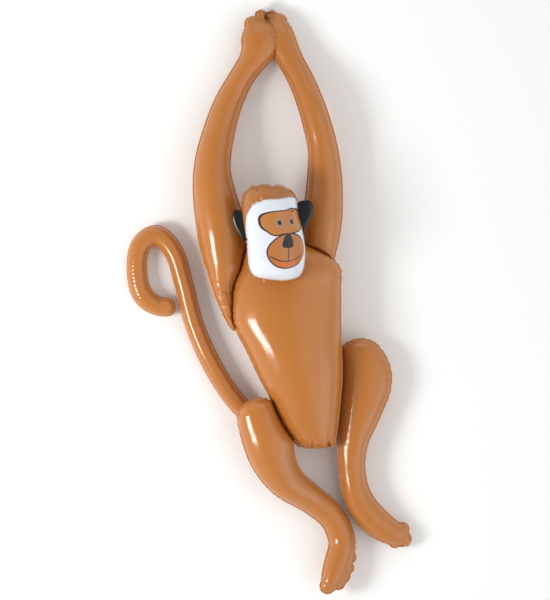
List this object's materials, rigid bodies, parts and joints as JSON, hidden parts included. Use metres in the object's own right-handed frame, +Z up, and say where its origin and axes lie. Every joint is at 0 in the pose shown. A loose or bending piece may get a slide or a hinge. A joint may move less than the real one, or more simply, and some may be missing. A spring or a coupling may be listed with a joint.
{
  "type": "inflatable monkey",
  "caption": "Blown-up vinyl monkey lying on its back, arms stretched past its head with the hands together, knees bent, tail curled, with flat ears and a printed face.",
  "frame": {"origin": "on the ground, under the centre of the figure's bounding box", "axes": "+Z up out of the chest and face, +Y from the feet to the hands, +X to the monkey's own left"},
  "size_m": [0.4378, 0.9012, 0.1442],
  "materials": {
    "brown_vinyl": "glossy tan-brown PVC film, blown up tight",
    "white_vinyl": "glossy white PVC film with a brown and black printed face",
    "black_vinyl": "glossy black PVC film, two layers welded flat"
  },
  "bodies": {
    "root": {"trunk": "brown_vinyl", "head": "white_vinyl", "right_arm": "brown_vinyl", "left_arm": "brown_vinyl", "right_leg": "brown_vinyl", "left_leg": "brown_vinyl", "tail": "brown_vinyl", "right_ear": "black_vinyl", "left_ear": "black_vinyl"}
  },
  "joints": []
}
